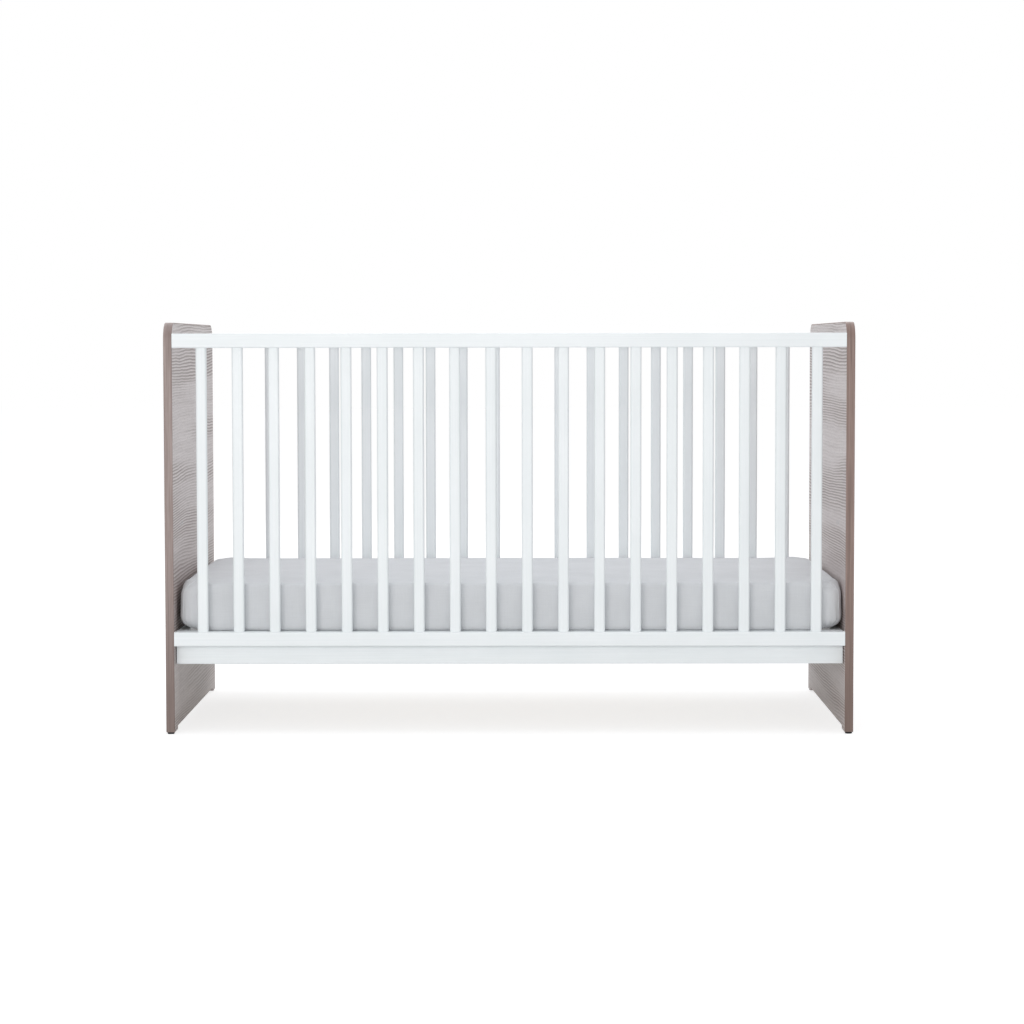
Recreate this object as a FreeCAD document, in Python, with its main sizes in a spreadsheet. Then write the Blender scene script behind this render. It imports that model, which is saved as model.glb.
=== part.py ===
"""Baby crib: two end panels, two slatted sides, a height-adjustable slatted base, mattress and fitted sheet.

Frame: +Z up, +X along the crib's length, the front side faces -Y. The origin is on the floor, below the
crib's centre. All sizes are millimetres, and the driving ones are in the spreadsheet "Sizes".
"""

import FreeCAD, Part

import os

import Sketcher

DIMENSIONS = {
    # Whole crib
    "overall_length": 1442.0,
    "overall_depth": 755.0,
    "overall_height": 863.0,
    # End panels and their edge banding
    "panel_thickness": 18.0,
    "band_thickness": 2.0,
    "band_arris_radius": 1.5,
    "corner_radius": 38.0,
    "foot_length": 49.0,
    "relief_height": 7.5,
    # Side rails and slats
    "rail_height": 30.0,
    "rail_depth": 22.0,
    "rail_arris_radius": 2.5,
    "top_rail_bottom": 810.0,
    "bottom_rail_bottom": 185.0,
    "slat_count": 18,
    "slat_pitch": 75.65,
    "slat_width": 23.0,
    "slat_depth": 12.0,
    "slat_arris_radius": 4.5,
    "tenon_length": 12.0,
    # Rail bolts, barrel nuts and dowels
    "bolt_radius": 2.95,
    "bolt_hole_radius": 3.3,
    "bolt_level": 21.0,
    "bolt_reach": 32.0,
    "bolt_bore_depth": 35.0,
    "bolt_head_radius": 7.5,
    "bolt_head_height": 2.5,
    "counterbore_radius": 8.0,
    "counterbore_depth": 3.0,
    "head_taper": 0.8,
    "hex_socket_radius": 2.3,
    "bolt_socket_depth": 2.0,
    "barrel_radius": 5.0,
    "barrel_length": 14.0,
    "barrel_inset": 28.0,
    "barrel_bore_depth": 18.0,
    "thread_radius": 3.0,
    "dowel_radius": 4.0,
    "dowel_length": 30.0,
    "dowel_level": 7.0,
    "panel_dowel_depth": 10.0,
    # Mattress base
    "base_top": 215.0,
    "base_rail_height": 70.0,
    "base_rail_depth": 20.0,
    "base_end_clearance": 2.0,
    "base_side_clearance": 6.0,
    "end_rail_height": 45.0,
    "end_rail_thickness": 22.0,
    "base_slat_count": 12,
    "base_slat_width": 60.0,
    "base_slat_thickness": 9.0,
    "base_slat_housing": 8.0,
    "base_arris_radius": 2.0,
    "base_dowel_low": 11.0,
    "base_dowel_high": 30.0,
    "base_dowel_depth": 12.0,
    # Support brackets, their screws and the insert nuts
    "bracket_width": 60.0,
    "bracket_leg": 25.0,
    "bracket_sheet": 3.0,
    "bracket_offset": 230.0,
    "bracket_hole_radius": 3.2,
    "bracket_hole_spacing": 32.0,
    "bracket_hole_level": 10.0,
    "peg_radius": 3.0,
    "peg_height": 12.0,
    "peg_hole_radius": 3.5,
    "peg_hole_depth": 16.0,
    "screw_reach": 14.0,
    "screw_head_radius": 5.5,
    "screw_head_height": 3.3,
    "screw_socket_depth": 2.0,
    "insert_radius": 5.0,
    "insert_length": 13.0,
    "insert_bore_depth": 14.0,
    "height_levels": 3,
    "height_step": 140.0,
    # Floor glides and their nails
    "glide_setback": 8.5,
    "glide_height": 4.0,
    "glide_radius": 7.5,
    "glide_chamfer": 1.0,
    "glide_recess_radius": 3.5,
    "glide_recess_depth": 2.0,
    "nail_radius": 1.25,
    "nail_length": 14.0,
    "nail_head_radius": 3.0,
    "nail_head_height": 1.0,
    "nail_bore_depth": 13.0,
    # Mattress and fitted sheet
    "mattress_length": 1394.0,
    "mattress_width": 698.0,
    "mattress_height": 104.0,
    "mattress_corner_radius": 45.0,
    "mattress_edge_radius": 22.0,
    "sheet_thickness": 1.0,
    "sheet_slack": 0.3,
    "sheet_hem_width": 70.0,
}

FULL_TURN = 360.0
HALF_TURN = 180.0
HEX_SIDES = 6
EPSILON = 1e-3
UP = FreeCAD.Vector(0, 0, 1)

# Formulas that several sub-parts share
HALF_LENGTH = "(Sizes.overall_length / 2)"
HALF_DEPTH = "(Sizes.overall_depth / 2)"
INNER_LENGTH = "(Sizes.overall_length - 2 * Sizes.panel_thickness)"
HALF_INNER = "(Sizes.overall_length / 2 - Sizes.panel_thickness)"
RAIL_MIDDLE = "(Sizes.rail_depth / 2)"
BOTTOM_RAIL_TOP = "(Sizes.bottom_rail_bottom + Sizes.rail_height)"
BASE_LENGTH = f"({INNER_LENGTH} - 2 * Sizes.base_end_clearance)"
BASE_WIDTH = "(Sizes.overall_depth - 2 * Sizes.rail_depth - 2 * Sizes.base_side_clearance)"
BASE_BOTTOM = "(Sizes.base_top - Sizes.base_rail_height)"
END_RAIL_LENGTH = f"({BASE_WIDTH} - 2 * Sizes.base_rail_depth)"
END_RAIL_BOTTOM = "(Sizes.base_top - Sizes.end_rail_height)"
BASE_SLAT_GAP = (
    f"(({BASE_LENGTH} - 2 * Sizes.end_rail_thickness - Sizes.base_slat_count * Sizes.base_slat_width)"
    " / (Sizes.base_slat_count + 1))"
)
BASE_SLAT_PITCH = f"(Sizes.base_slat_width + {BASE_SLAT_GAP})"
BRACKET_BOTTOM = f"({END_RAIL_BOTTOM} - Sizes.bracket_leg)"

doc = FreeCAD.newDocument("baby_crib")
sizes = doc.addObject("Spreadsheet::Sheet", "Sizes")
for row, (alias, value) in enumerate(DIMENSIONS.items(), start=1):
    sizes.set(f"A{row}", alias)
    sizes.set(f"B{row}", str(value))
    sizes.setAlias(f"B{row}", alias)
doc.recompute()

sub_parts = []


def number(formula):
    """The value of a formula over the sheet's cells."""
    return float(sizes.evalExpression(formula))


def bind(thing, formulas):
    """Ties each named property of a document object to a formula."""
    for path, formula in formulas.items():
        thing.setExpression(path, formula)


def place(thing, x, y, z, turned=False):
    """Puts a sub-part at three formulas, turned half round the vertical or not."""
    angle = HALF_TURN if turned else 0.0
    thing.Placement = FreeCAD.Placement(FreeCAD.Vector(), FreeCAD.Rotation(UP, angle))
    bind(thing, {"Placement.Base.x": x, "Placement.Base.y": y, "Placement.Base.z": z})


def new_body(name):
    return doc.addObject("PartDesign::Body", name)


def keep(thing, name):
    """Lists a finished object as the sub-part of that name."""
    thing.Label = name
    sub_parts.append(thing)
    return thing


def new_sketch(body, role, offset):
    """An empty sketch on one of the body's own origin planes, moved along its normal."""
    sketch = body.newObject("Sketcher::SketchObject", f"{body.Name}_sketch")
    plane = next(feature for feature in body.Origin.OriginFeatures if feature.Role == role)
    sketch.AttachmentSupport = [(plane, "")]
    sketch.MapMode = "FlatFace"
    sketch.setExpression("AttachmentOffset.Base.z", offset)
    return sketch


def pin_point(sketch, geometry, position, label, u, v):
    """Fixes a sketch point at two formulas, measured from the sketch's origin."""
    for kind, axis, formula in (("DistanceX", "u", u), ("DistanceY", "v", v)):
        index = sketch.addConstraint(Sketcher.Constraint(kind, -1, 1, geometry, position, number(formula)))
        sketch.renameConstraint(index, f"{label}_{axis}")
        sketch.setExpression(f"Constraints.{label}_{axis}", formula)


def outline(body, role, corners, offset="0"):
    """A closed outline of straight edges, its corners given as pairs of formulas."""
    sketch = new_sketch(body, role, offset)
    points = [FreeCAD.Vector(number(u), number(v), 0) for u, v in corners]
    for start, end in zip(points, points[1:] + points[:1]):
        sketch.addGeometry(Part.LineSegment(start, end), False)
    for index in range(len(points)):
        sketch.addConstraint(Sketcher.Constraint("Coincident", index, 2, (index + 1) % len(points), 1))
    for index, (u, v) in enumerate(corners):
        pin_point(sketch, index, 1, f"corner{index}", u, v)
    return sketch


def rectangle(body, role, low, high, offset="0"):
    """An outline from a low corner to a high corner, each a pair of formulas."""
    corners = [low, (high[0], low[1]), high, (low[0], high[1])]
    return outline(body, role, corners, offset)


def discs(body, role, centres, radius, offset="0"):
    """Circles of one radius, their centres given as pairs of formulas."""
    sketch = new_sketch(body, role, offset)
    for index, (u, v) in enumerate(centres):
        centre = FreeCAD.Vector(number(u), number(v), 0)
        sketch.addGeometry(Part.Circle(centre, FreeCAD.Vector(0, 0, 1), number(radius)), False)
        pin_point(sketch, index, 3, f"centre{index}", u, v)
        size = sketch.addConstraint(Sketcher.Constraint("Radius", index, number(radius)))
        sketch.renameConstraint(size, f"radius{index}")
        sketch.setExpression(f"Constraints.radius{index}", radius)
    return sketch


def pad(body, sketch, length):
    """Extrudes a sketch along its plane's normal."""
    feature = body.newObject("PartDesign::Pad", f"{body.Name}_pad")
    feature.Profile = sketch
    bind(feature, {"Length": length})
    doc.recompute()
    return feature


def pocket(body, sketch, depth, along_normal):
    """Cuts a sketch into the body, along its plane's normal or against it."""
    before = body.Shape.Volume
    feature = body.newObject("PartDesign::Pocket", f"{body.Name}_pocket")
    feature.Profile = sketch
    feature.Reversed = along_normal
    bind(feature, {"Length": depth})
    doc.recompute()
    if feature.Shape.Volume >= before - EPSILON:
        raise ValueError(f"{feature.Name} removes nothing")
    return feature


def revolve(body, sketch, axis):
    """Turns a profile right round one of the sketch's axes, H_Axis or V_Axis."""
    feature = body.newObject("PartDesign::Revolution", f"{body.Name}_revolution")
    feature.Profile = sketch
    feature.ReferenceAxis = (sketch, [axis])
    feature.Angle = FULL_TURN
    doc.recompute()
    return feature


def repeat(body, feature, role, spacing, count):
    """Repeats a feature along one of the body's own axes."""
    axis = next(part for part in body.Origin.OriginFeatures if part.Role == role)
    pattern = body.newObject("PartDesign::LinearPattern", f"{body.Name}_pattern")
    pattern.Originals = [feature]
    pattern.Direction = (axis, [""])
    bind(pattern, {"Length": f"{spacing} * ({count} - 1)", "Occurrences": count})
    body.Tip = pattern
    doc.recompute()
    return pattern


def edges_where(feature, test):
    """The names of the feature's edges that pass a test."""
    numbered = enumerate(feature.Shape.Edges, start=1)
    return [f"Edge{index}" for index, edge in numbered if test(edge)]


def fillet(body, feature, test, radius):
    """Rounds the edges that pass a test."""
    doc.recompute()
    rounded = body.newObject("PartDesign::Fillet", f"{body.Name}_fillet")
    rounded.Base = (feature, edges_where(feature, test))
    bind(rounded, {"Radius": radius})
    doc.recompute()
    return rounded


def straight_along(direction):
    """A test for straight edges that run along a direction."""

    def test(edge):
        if not isinstance(edge.Curve, Part.Line):
            return False
        return abs(abs(edge.Curve.Direction.dot(direction)) - 1) < EPSILON

    return test


ALONG_X = straight_along(FreeCAD.Vector(1, 0, 0))
ALONG_Y = straight_along(FreeCAD.Vector(0, 1, 0))
ALONG_Z = straight_along(FreeCAD.Vector(0, 0, 1))


def middle_of(edge):
    return edge.valueAt((edge.FirstParameter + edge.LastParameter) / 2)


def copies(name, master, places):
    """One sub-part of separate solids: linked copies of a master, each at (x, y, z, turned)."""
    links = []
    for x, y, z, turned in places:
        link = doc.addObject("App::Link", f"{name}_copy")
        link.LinkedObject = master
        place(link, x, y, z, turned)
        links.append(link)
    group = doc.addObject("Part::Compound", name)
    group.Links = links
    doc.recompute()
    return keep(group, name)


# End panels. Local frame: x from the outer face to the inner one, y from the front edge, z from the floor.

RAIL_BOTTOMS = ("Sizes.bottom_rail_bottom", "Sizes.top_rail_bottom")
RAIL_LINES = (RAIL_MIDDLE, f"(Sizes.overall_depth - {RAIL_MIDDLE})")
GLIDE_LINES = ("Sizes.glide_setback", "(Sizes.overall_depth - Sizes.glide_setback)")


def insert_row(level):
    """Where a panel's four insert nuts of one level sit, as pairs of formulas for y and z."""
    height = f"({BRACKET_BOTTOM} + Sizes.bracket_hole_level + {level} * Sizes.height_step)"
    row = []
    for bracket in (-1, 1):
        for hole in (-1, 1):
            bracket_line = f"{HALF_DEPTH} + {bracket} * Sizes.bracket_offset"
            row.append((f"({bracket_line} + {hole} * Sizes.bracket_hole_spacing / 2)", height))
    return row


def bore_panel(body):
    """Cuts the bolt, dowel, insert-nut and nail holes of a panel."""
    bolt_centres = [(y, f"({z} + Sizes.bolt_level)") for y in RAIL_LINES for z in RAIL_BOTTOMS]
    dowel_centres = [(y, f"({z} + Sizes.dowel_level)") for y in RAIL_LINES for z in RAIL_BOTTOMS]
    insert_centres = []
    for level in range(DIMENSIONS["height_levels"]):
        insert_centres += insert_row(level)
    nail_centres = [("Sizes.panel_thickness / 2", y) for y in GLIDE_LINES]
    inner = "Sizes.panel_thickness"
    holes = discs(body, "YZ_Plane", bolt_centres, "Sizes.bolt_hole_radius")
    pocket(body, holes, "Sizes.panel_thickness", along_normal=True)
    counterbores = discs(body, "YZ_Plane", bolt_centres, "Sizes.counterbore_radius")
    pocket(body, counterbores, "Sizes.counterbore_depth", along_normal=True)
    dowel_holes = discs(body, "YZ_Plane", dowel_centres, "Sizes.dowel_radius", inner)
    pocket(body, dowel_holes, "Sizes.panel_dowel_depth", along_normal=False)
    insert_holes = discs(body, "YZ_Plane", insert_centres, "Sizes.insert_radius", inner)
    pocket(body, insert_holes, "Sizes.insert_bore_depth", along_normal=False)
    nail_holes = discs(body, "XY_Plane", nail_centres, "Sizes.nail_radius", "Sizes.glide_height")
    pocket(body, nail_holes, "Sizes.nail_bore_depth", along_normal=True)


def end_panel(name, x, y, turned):
    """A laminated board with two feet, a relief between them and two rounded top corners."""
    body = new_body(name)
    front = "Sizes.band_thickness"
    back = "(Sizes.overall_depth - Sizes.band_thickness)"
    foot = "Sizes.glide_height"
    relief = "(Sizes.glide_height + Sizes.relief_height)"
    top = "(Sizes.overall_height - Sizes.band_thickness)"
    relief_start = "(Sizes.foot_length + Sizes.relief_height)"
    corners = [
        (front, foot),
        ("Sizes.foot_length", foot),
        (relief_start, relief),
        (f"(Sizes.overall_depth - {relief_start})", relief),
        ("(Sizes.overall_depth - Sizes.foot_length)", foot),
        (back, foot),
        (back, top),
        (front, top),
    ]
    board = pad(body, outline(body, "YZ_Plane", corners), "Sizes.panel_thickness")
    half_height = DIMENSIONS["overall_height"] / 2
    fillet(
        body,
        board,
        lambda edge: ALONG_X(edge) and middle_of(edge).z > half_height,
        "Sizes.corner_radius - Sizes.band_thickness",
    )
    bore_panel(body)
    place(body, x, y, "0", turned)
    return keep(body, name)


def edge_band(name, x, y, turned):
    """The strip round a panel's front, top and back edge, with its outer arrises rounded."""
    body = new_body(name)
    depth = "Sizes.overall_depth"
    band = "Sizes.band_thickness"
    foot = "Sizes.glide_height"
    top = "Sizes.overall_height"
    inner_back = f"({depth} - {band})"
    inner_top = f"({top} - {band})"
    corners = [
        ("0", foot),
        (band, foot),
        (band, inner_top),
        (inner_back, inner_top),
        (inner_back, foot),
        (depth, foot),
        (depth, top),
        ("0", top),
    ]
    strip = pad(body, outline(body, "YZ_Plane", corners), "Sizes.panel_thickness")
    top_level = number(top)
    inner_level = number(inner_top)
    rounded = fillet(
        body,
        strip,
        lambda edge: ALONG_X(edge) and abs(middle_of(edge).z - top_level) < EPSILON,
        "Sizes.corner_radius",
    )
    rounded = fillet(
        body,
        rounded,
        lambda edge: ALONG_X(edge) and abs(middle_of(edge).z - inner_level) < EPSILON,
        "Sizes.corner_radius - Sizes.band_thickness",
    )

    def outer_arris(edge):
        """Edges of the strip's outer surface that lie in the two faces of the board."""
        point = middle_of(edge)
        if EPSILON < point.x < number("Sizes.panel_thickness") - EPSILON:
            return False
        if isinstance(edge.Curve, Part.Circle):
            return abs(edge.Curve.Radius - number("Sizes.corner_radius")) < EPSILON
        on_front = point.y < EPSILON
        on_back = point.y > number(depth) - EPSILON
        return on_front or on_back or point.z > top_level - EPSILON

    fillet(body, rounded, outer_arris, "Sizes.band_arris_radius")
    place(body, x, y, "0", turned)
    return keep(body, name)


# Side rails. Local frame: x from one end, y from the outer face, z from the bottom face.


def bore_rail_ends(body):
    """Cuts the bolt, dowel and barrel-nut holes at both ends of a side rail."""
    bolt = [(RAIL_MIDDLE, "Sizes.bolt_level")]
    dowel = [(RAIL_MIDDLE, "Sizes.dowel_level")]
    dowel_depth = "(Sizes.dowel_length - Sizes.panel_dowel_depth)"
    for end, along_normal in (("0", True), (INNER_LENGTH, False)):
        bolt_hole = discs(body, "YZ_Plane", bolt, "Sizes.bolt_hole_radius", end)
        pocket(body, bolt_hole, "Sizes.bolt_bore_depth", along_normal)
        dowel_hole = discs(body, "YZ_Plane", dowel, "Sizes.dowel_radius", end)
        pocket(body, dowel_hole, dowel_depth, along_normal)
    barrels = [
        ("Sizes.barrel_inset", "Sizes.bolt_level"),
        (f"({INNER_LENGTH} - Sizes.barrel_inset)", "Sizes.bolt_level"),
    ]
    # This plane's normal is -Y, so the inner face lies at a negative offset from it.
    barrel_holes = discs(body, "XZ_Plane", barrels, "Sizes.barrel_radius", "-Sizes.rail_depth")
    pocket(body, barrel_holes, "Sizes.barrel_bore_depth", along_normal=True)


def side_rail(name, bottom, x, y, turned, mortised_above):
    """A rounded rail with a row of slat mortises in its top or its bottom face."""
    body = new_body(name)
    section = rectangle(body, "YZ_Plane", ("0", "0"), ("Sizes.rail_depth", "Sizes.rail_height"))
    blank = pad(body, section, INNER_LENGTH)
    fillet(body, blank, ALONG_X, "Sizes.rail_arris_radius")
    first_middle = f"({INNER_LENGTH} / 2 - (Sizes.slat_count - 1) * Sizes.slat_pitch / 2)"
    low = (f"({first_middle} - Sizes.slat_width / 2)", f"({RAIL_MIDDLE} - Sizes.slat_depth / 2)")
    high = (f"({first_middle} + Sizes.slat_width / 2)", f"({RAIL_MIDDLE} + Sizes.slat_depth / 2)")
    level = "Sizes.rail_height" if mortised_above else "0"
    mouth = rectangle(body, "XY_Plane", low, high, level)
    mortise = pocket(body, mouth, "Sizes.tenon_length", along_normal=not mortised_above)
    repeat(body, mortise, "X_Axis", "Sizes.slat_pitch", "Sizes.slat_count")
    bore_rail_ends(body)
    place(body, x, y, bottom, turned)
    return keep(body, name)


def side_slat(name, index, y):
    """One upright slat, long enough to fill its two mortises."""
    body = new_body(name)
    section = rectangle(body, "XY_Plane", ("0", "0"), ("Sizes.slat_width", "Sizes.slat_depth"))
    length = f"(Sizes.top_rail_bottom - {BOTTOM_RAIL_TOP} + 2 * Sizes.tenon_length)"
    blank = pad(body, section, length)
    fillet(body, blank, ALONG_Z, "Sizes.slat_arris_radius")
    middle = f"(({index} - (Sizes.slat_count - 1) / 2) * Sizes.slat_pitch)"
    place(body, f"{middle} - Sizes.slat_width / 2", y, f"{BOTTOM_RAIL_TOP} - Sizes.tenon_length")
    return keep(body, name)


# Mattress base. The long rails' local frame: x from one end, y from the outer face, z from the bottom face.


def base_rail(name, x, y, turned):
    """A long base rail with housings for the cross slats and dowel holes for the end rails."""
    body = new_body(name)
    section = rectangle(
        body, "YZ_Plane", ("0", "0"), ("Sizes.base_rail_depth", "Sizes.base_rail_height")
    )
    blank = pad(body, section, BASE_LENGTH)
    fillet(body, blank, ALONG_X, "Sizes.base_arris_radius")
    start = f"(Sizes.end_rail_thickness + {BASE_SLAT_GAP})"
    low = (start, "(Sizes.base_rail_depth - Sizes.base_slat_housing)")
    high = (f"({start} + Sizes.base_slat_width)", "Sizes.base_rail_depth")
    mouth = rectangle(body, "XY_Plane", low, high, "Sizes.base_rail_height")
    housing = pocket(body, mouth, "Sizes.base_slat_thickness", along_normal=False)
    repeat(body, housing, "X_Axis", BASE_SLAT_PITCH, "Sizes.base_slat_count")
    drop = "(Sizes.base_rail_height - Sizes.end_rail_height)"
    half_end = "Sizes.end_rail_thickness / 2"
    centres = []
    for x_middle in (half_end, f"({BASE_LENGTH} - {half_end})"):
        centres.append((x_middle, f"({drop} + Sizes.base_dowel_low)"))
        centres.append((x_middle, f"({drop} + Sizes.base_dowel_high)"))
    # This plane's normal is -Y, so the inner face lies at a negative offset from it.
    holes = discs(body, "XZ_Plane", centres, "Sizes.dowel_radius", "-Sizes.base_rail_depth")
    pocket(body, holes, "Sizes.base_dowel_depth", along_normal=True)
    place(body, x, y, BASE_BOTTOM, turned)
    return keep(body, name)


def base_end_rail(name, x):
    """A short base rail, dowelled between the long ones, with holes for the bracket pegs."""
    body = new_body(name)
    section = rectangle(
        body, "XY_Plane", ("0", "0"), ("Sizes.end_rail_thickness", END_RAIL_LENGTH)
    )
    blank = pad(body, section, "Sizes.end_rail_height")
    fillet(body, blank, ALONG_Y, "Sizes.base_arris_radius")
    middle = "Sizes.end_rail_thickness / 2"
    dowels = [(middle, "Sizes.base_dowel_low"), (middle, "Sizes.base_dowel_high")]
    depth = "(Sizes.dowel_length - Sizes.base_dowel_depth)"
    # This plane's normal is -Y, so the far end lies at a negative offset from it.
    for end, along_normal in (("0", False), (f"-{END_RAIL_LENGTH}", True)):
        holes = discs(body, "XZ_Plane", dowels, "Sizes.dowel_radius", end)
        pocket(body, holes, depth, along_normal)
    pegs = [
        (middle, f"({END_RAIL_LENGTH} / 2 - Sizes.bracket_offset)"),
        (middle, f"({END_RAIL_LENGTH} / 2 + Sizes.bracket_offset)"),
    ]
    peg_holes = discs(body, "XY_Plane", pegs, "Sizes.peg_hole_radius")
    pocket(body, peg_holes, "Sizes.peg_hole_depth", along_normal=True)
    place(body, x, f"-{END_RAIL_LENGTH} / 2", END_RAIL_BOTTOM)
    return keep(body, name)


def base_slats(name):
    """The cross slats, one row of separate boards let into the long rails."""
    body = new_body(name)
    section = rectangle(
        body, "XZ_Plane", ("0", "0"), ("Sizes.base_slat_width", "Sizes.base_slat_thickness")
    )
    length = f"({END_RAIL_LENGTH} + 2 * Sizes.base_slat_housing)"
    board = pad(body, section, length)
    repeat(body, board, "X_Axis", BASE_SLAT_PITCH, "Sizes.base_slat_count")
    start = f"(-{BASE_LENGTH} / 2 + Sizes.end_rail_thickness + {BASE_SLAT_GAP})"
    place(body, start, f"{length} / 2", "Sizes.base_top - Sizes.base_slat_thickness")
    return keep(body, name)


# Hardware. Each master has its origin on its own axis or seat, and its copies are placed by formula.


def hex_corners(radius):
    """The corners of a hexagon round the sketch's origin."""
    step = FULL_TURN / HEX_SIDES
    angles = [index * step for index in range(HEX_SIDES)]
    return [(f"({radius} * cos({angle}))", f"({radius} * sin({angle}))") for angle in angles]


def screw(name, head_radius, head_height, reach, socket_depth):
    """An M6 screw along +X: its head lies at negative x, its shank from 0 to its reach."""
    body = new_body(name)
    radius = "Sizes.bolt_radius"
    corners = [
        (f"-{head_height}", "0"),
        (reach, "0"),
        (reach, radius),
        ("0", radius),
        ("0", head_radius),
        (f"-{head_height}", f"{head_radius} * Sizes.head_taper"),
    ]
    revolve(body, outline(body, "XZ_Plane", corners), "H_Axis")
    socket = outline(body, "YZ_Plane", hex_corners("Sizes.hex_socket_radius"), f"-{head_height}")
    pocket(body, socket, socket_depth, along_normal=True)
    return body


def rod(name, role, radius, length):
    """A round bar from its origin along one plane's normal."""
    body = new_body(name)
    pad(body, discs(body, role, [("0", "0")], radius), length)
    return body


def insert_nut():
    """A threaded insert that runs along -X from its open face at x = 0."""
    body = new_body("insert_nut")
    length = "Sizes.insert_length"
    pad(body, discs(body, "YZ_Plane", [("0", "0")], "Sizes.insert_radius", f"-{length}"), length)
    pocket(body, discs(body, "YZ_Plane", [("0", "0")], "Sizes.thread_radius"), length, False)
    return body


def barrel_nut():
    """A cross dowel along -Y with a threaded hole across its middle."""
    body = rod("barrel_nut", "XZ_Plane", "Sizes.barrel_radius", "Sizes.barrel_length")
    middle = [("-Sizes.barrel_length / 2", "0")]
    thread = discs(body, "YZ_Plane", middle, "Sizes.thread_radius", "-Sizes.barrel_radius")
    pocket(body, thread, "2 * Sizes.barrel_radius", along_normal=True)
    return body


def support_bracket():
    """A steel angle with a peg. Local frame: x from the panel's face, y across, z from its lower end."""
    body = new_body("support_bracket")
    leg = "Sizes.bracket_leg"
    plate = "Sizes.bracket_sheet"
    under_leg = f"({leg} - {plate})"
    corners = [("0", "0"), (plate, "0"), (plate, under_leg), (leg, under_leg), (leg, leg), ("0", leg)]
    pad(body, outline(body, "XZ_Plane", corners, "-Sizes.bracket_width"), "Sizes.bracket_width")
    half_width = "Sizes.bracket_width / 2"
    half_spacing = "Sizes.bracket_hole_spacing / 2"
    centres = [
        (f"({half_width} - {half_spacing})", "Sizes.bracket_hole_level"),
        (f"({half_width} + {half_spacing})", "Sizes.bracket_hole_level"),
    ]
    pocket(body, discs(body, "YZ_Plane", centres, "Sizes.bracket_hole_radius"), plate, True)
    peg_x = "(Sizes.base_end_clearance + Sizes.end_rail_thickness / 2)"
    peg = discs(body, "XY_Plane", [(peg_x, half_width)], "Sizes.peg_radius", under_leg)
    pad(body, peg, f"({plate} + Sizes.peg_height)")
    return body


def floor_glide():
    """A plastic glide with its axis along Z and its nail recess below."""
    body = rod("floor_glide", "XY_Plane", "Sizes.glide_radius", "Sizes.glide_height")
    disc = body.Tip
    chamfer = body.newObject("PartDesign::Chamfer", "floor_glide_chamfer")
    chamfer.Base = (disc, edges_where(disc, lambda edge: middle_of(edge).z < EPSILON))
    bind(chamfer, {"Size": "Sizes.glide_chamfer"})
    doc.recompute()
    recess = discs(body, "XY_Plane", [("0", "0")], "Sizes.glide_recess_radius")
    pocket(body, recess, "Sizes.glide_recess_depth", along_normal=True)
    hole = discs(body, "XY_Plane", [("0", "0")], "Sizes.nail_radius")
    pocket(body, hole, "Sizes.glide_height", along_normal=True)
    return body


def glide_nail():
    """A round nail along +Z, its head's top face at z = 0."""
    body = new_body("glide_nail")
    corners = [
        ("0", "-Sizes.nail_head_height"),
        ("Sizes.nail_head_radius", "-Sizes.nail_head_height"),
        ("Sizes.nail_head_radius", "0"),
        ("Sizes.nail_radius", "0"),
        ("Sizes.nail_radius", "Sizes.nail_length"),
        ("0", "Sizes.nail_length"),
    ]
    revolve(body, outline(body, "XZ_Plane", corners), "V_Axis")
    return body


# Where the hardware goes. At the right end every copy that points along X is turned half round.

END_TURNS = ((-1, False), (1, True))
ROW_SIDES = (-1, 1)


def rail_joint_hardware():
    """At each rail end: a bolt through the panel, its barrel nut in the rail, and a locating dowel."""
    bolt_places = []
    barrel_places = []
    dowel_places = []
    for end, turned in END_TURNS:
        seat_x = f"{end} * ({HALF_LENGTH} - Sizes.counterbore_depth)"
        barrel_x = f"{end} * ({HALF_INNER} - Sizes.barrel_inset)"
        dowel_x = f"{end} * ({HALF_INNER} + Sizes.panel_dowel_depth)"
        for side in ROW_SIDES:
            line = f"{side} * ({HALF_DEPTH} - {RAIL_MIDDLE})"
            for bottom in RAIL_BOTTOMS:
                bolt_z = f"{bottom} + Sizes.bolt_level"
                bolt_places.append((seat_x, line, bolt_z, turned))
                barrel_places.append((barrel_x, f"{line} + Sizes.barrel_length / 2", bolt_z, False))
                dowel_places.append((dowel_x, line, f"{bottom} + Sizes.dowel_level", turned))
    rail_bolt = screw(
        "rail_bolt",
        "Sizes.bolt_head_radius",
        "Sizes.bolt_head_height",
        "(Sizes.panel_thickness - Sizes.counterbore_depth + Sizes.bolt_reach)",
        "Sizes.bolt_socket_depth",
    )
    copies("rail_bolts", rail_bolt, bolt_places)
    copies("barrel_nuts", barrel_nut(), barrel_places)
    rail_dowel = rod("rail_dowel", "YZ_Plane", "Sizes.dowel_radius", "Sizes.dowel_length")
    copies("rail_dowels", rail_dowel, dowel_places)


def base_dowels():
    """Two dowels along Y at each corner of the base frame."""
    places = []
    for end, _ in END_TURNS:
        x = f"{end} * ({BASE_LENGTH} / 2 - Sizes.end_rail_thickness / 2)"
        for level in ("Sizes.base_dowel_low", "Sizes.base_dowel_high"):
            z = f"{END_RAIL_BOTTOM} + {level}"
            back_start = f"{END_RAIL_LENGTH} / 2 + Sizes.base_dowel_depth"
            front_start = f"-{END_RAIL_LENGTH} / 2 - Sizes.base_dowel_depth + Sizes.dowel_length"
            places.append((x, back_start, z, False))
            places.append((x, front_start, z, False))
    base_dowel = rod("base_dowel", "XZ_Plane", "Sizes.dowel_radius", "Sizes.dowel_length")
    copies("base_dowels", base_dowel, places)


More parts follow.
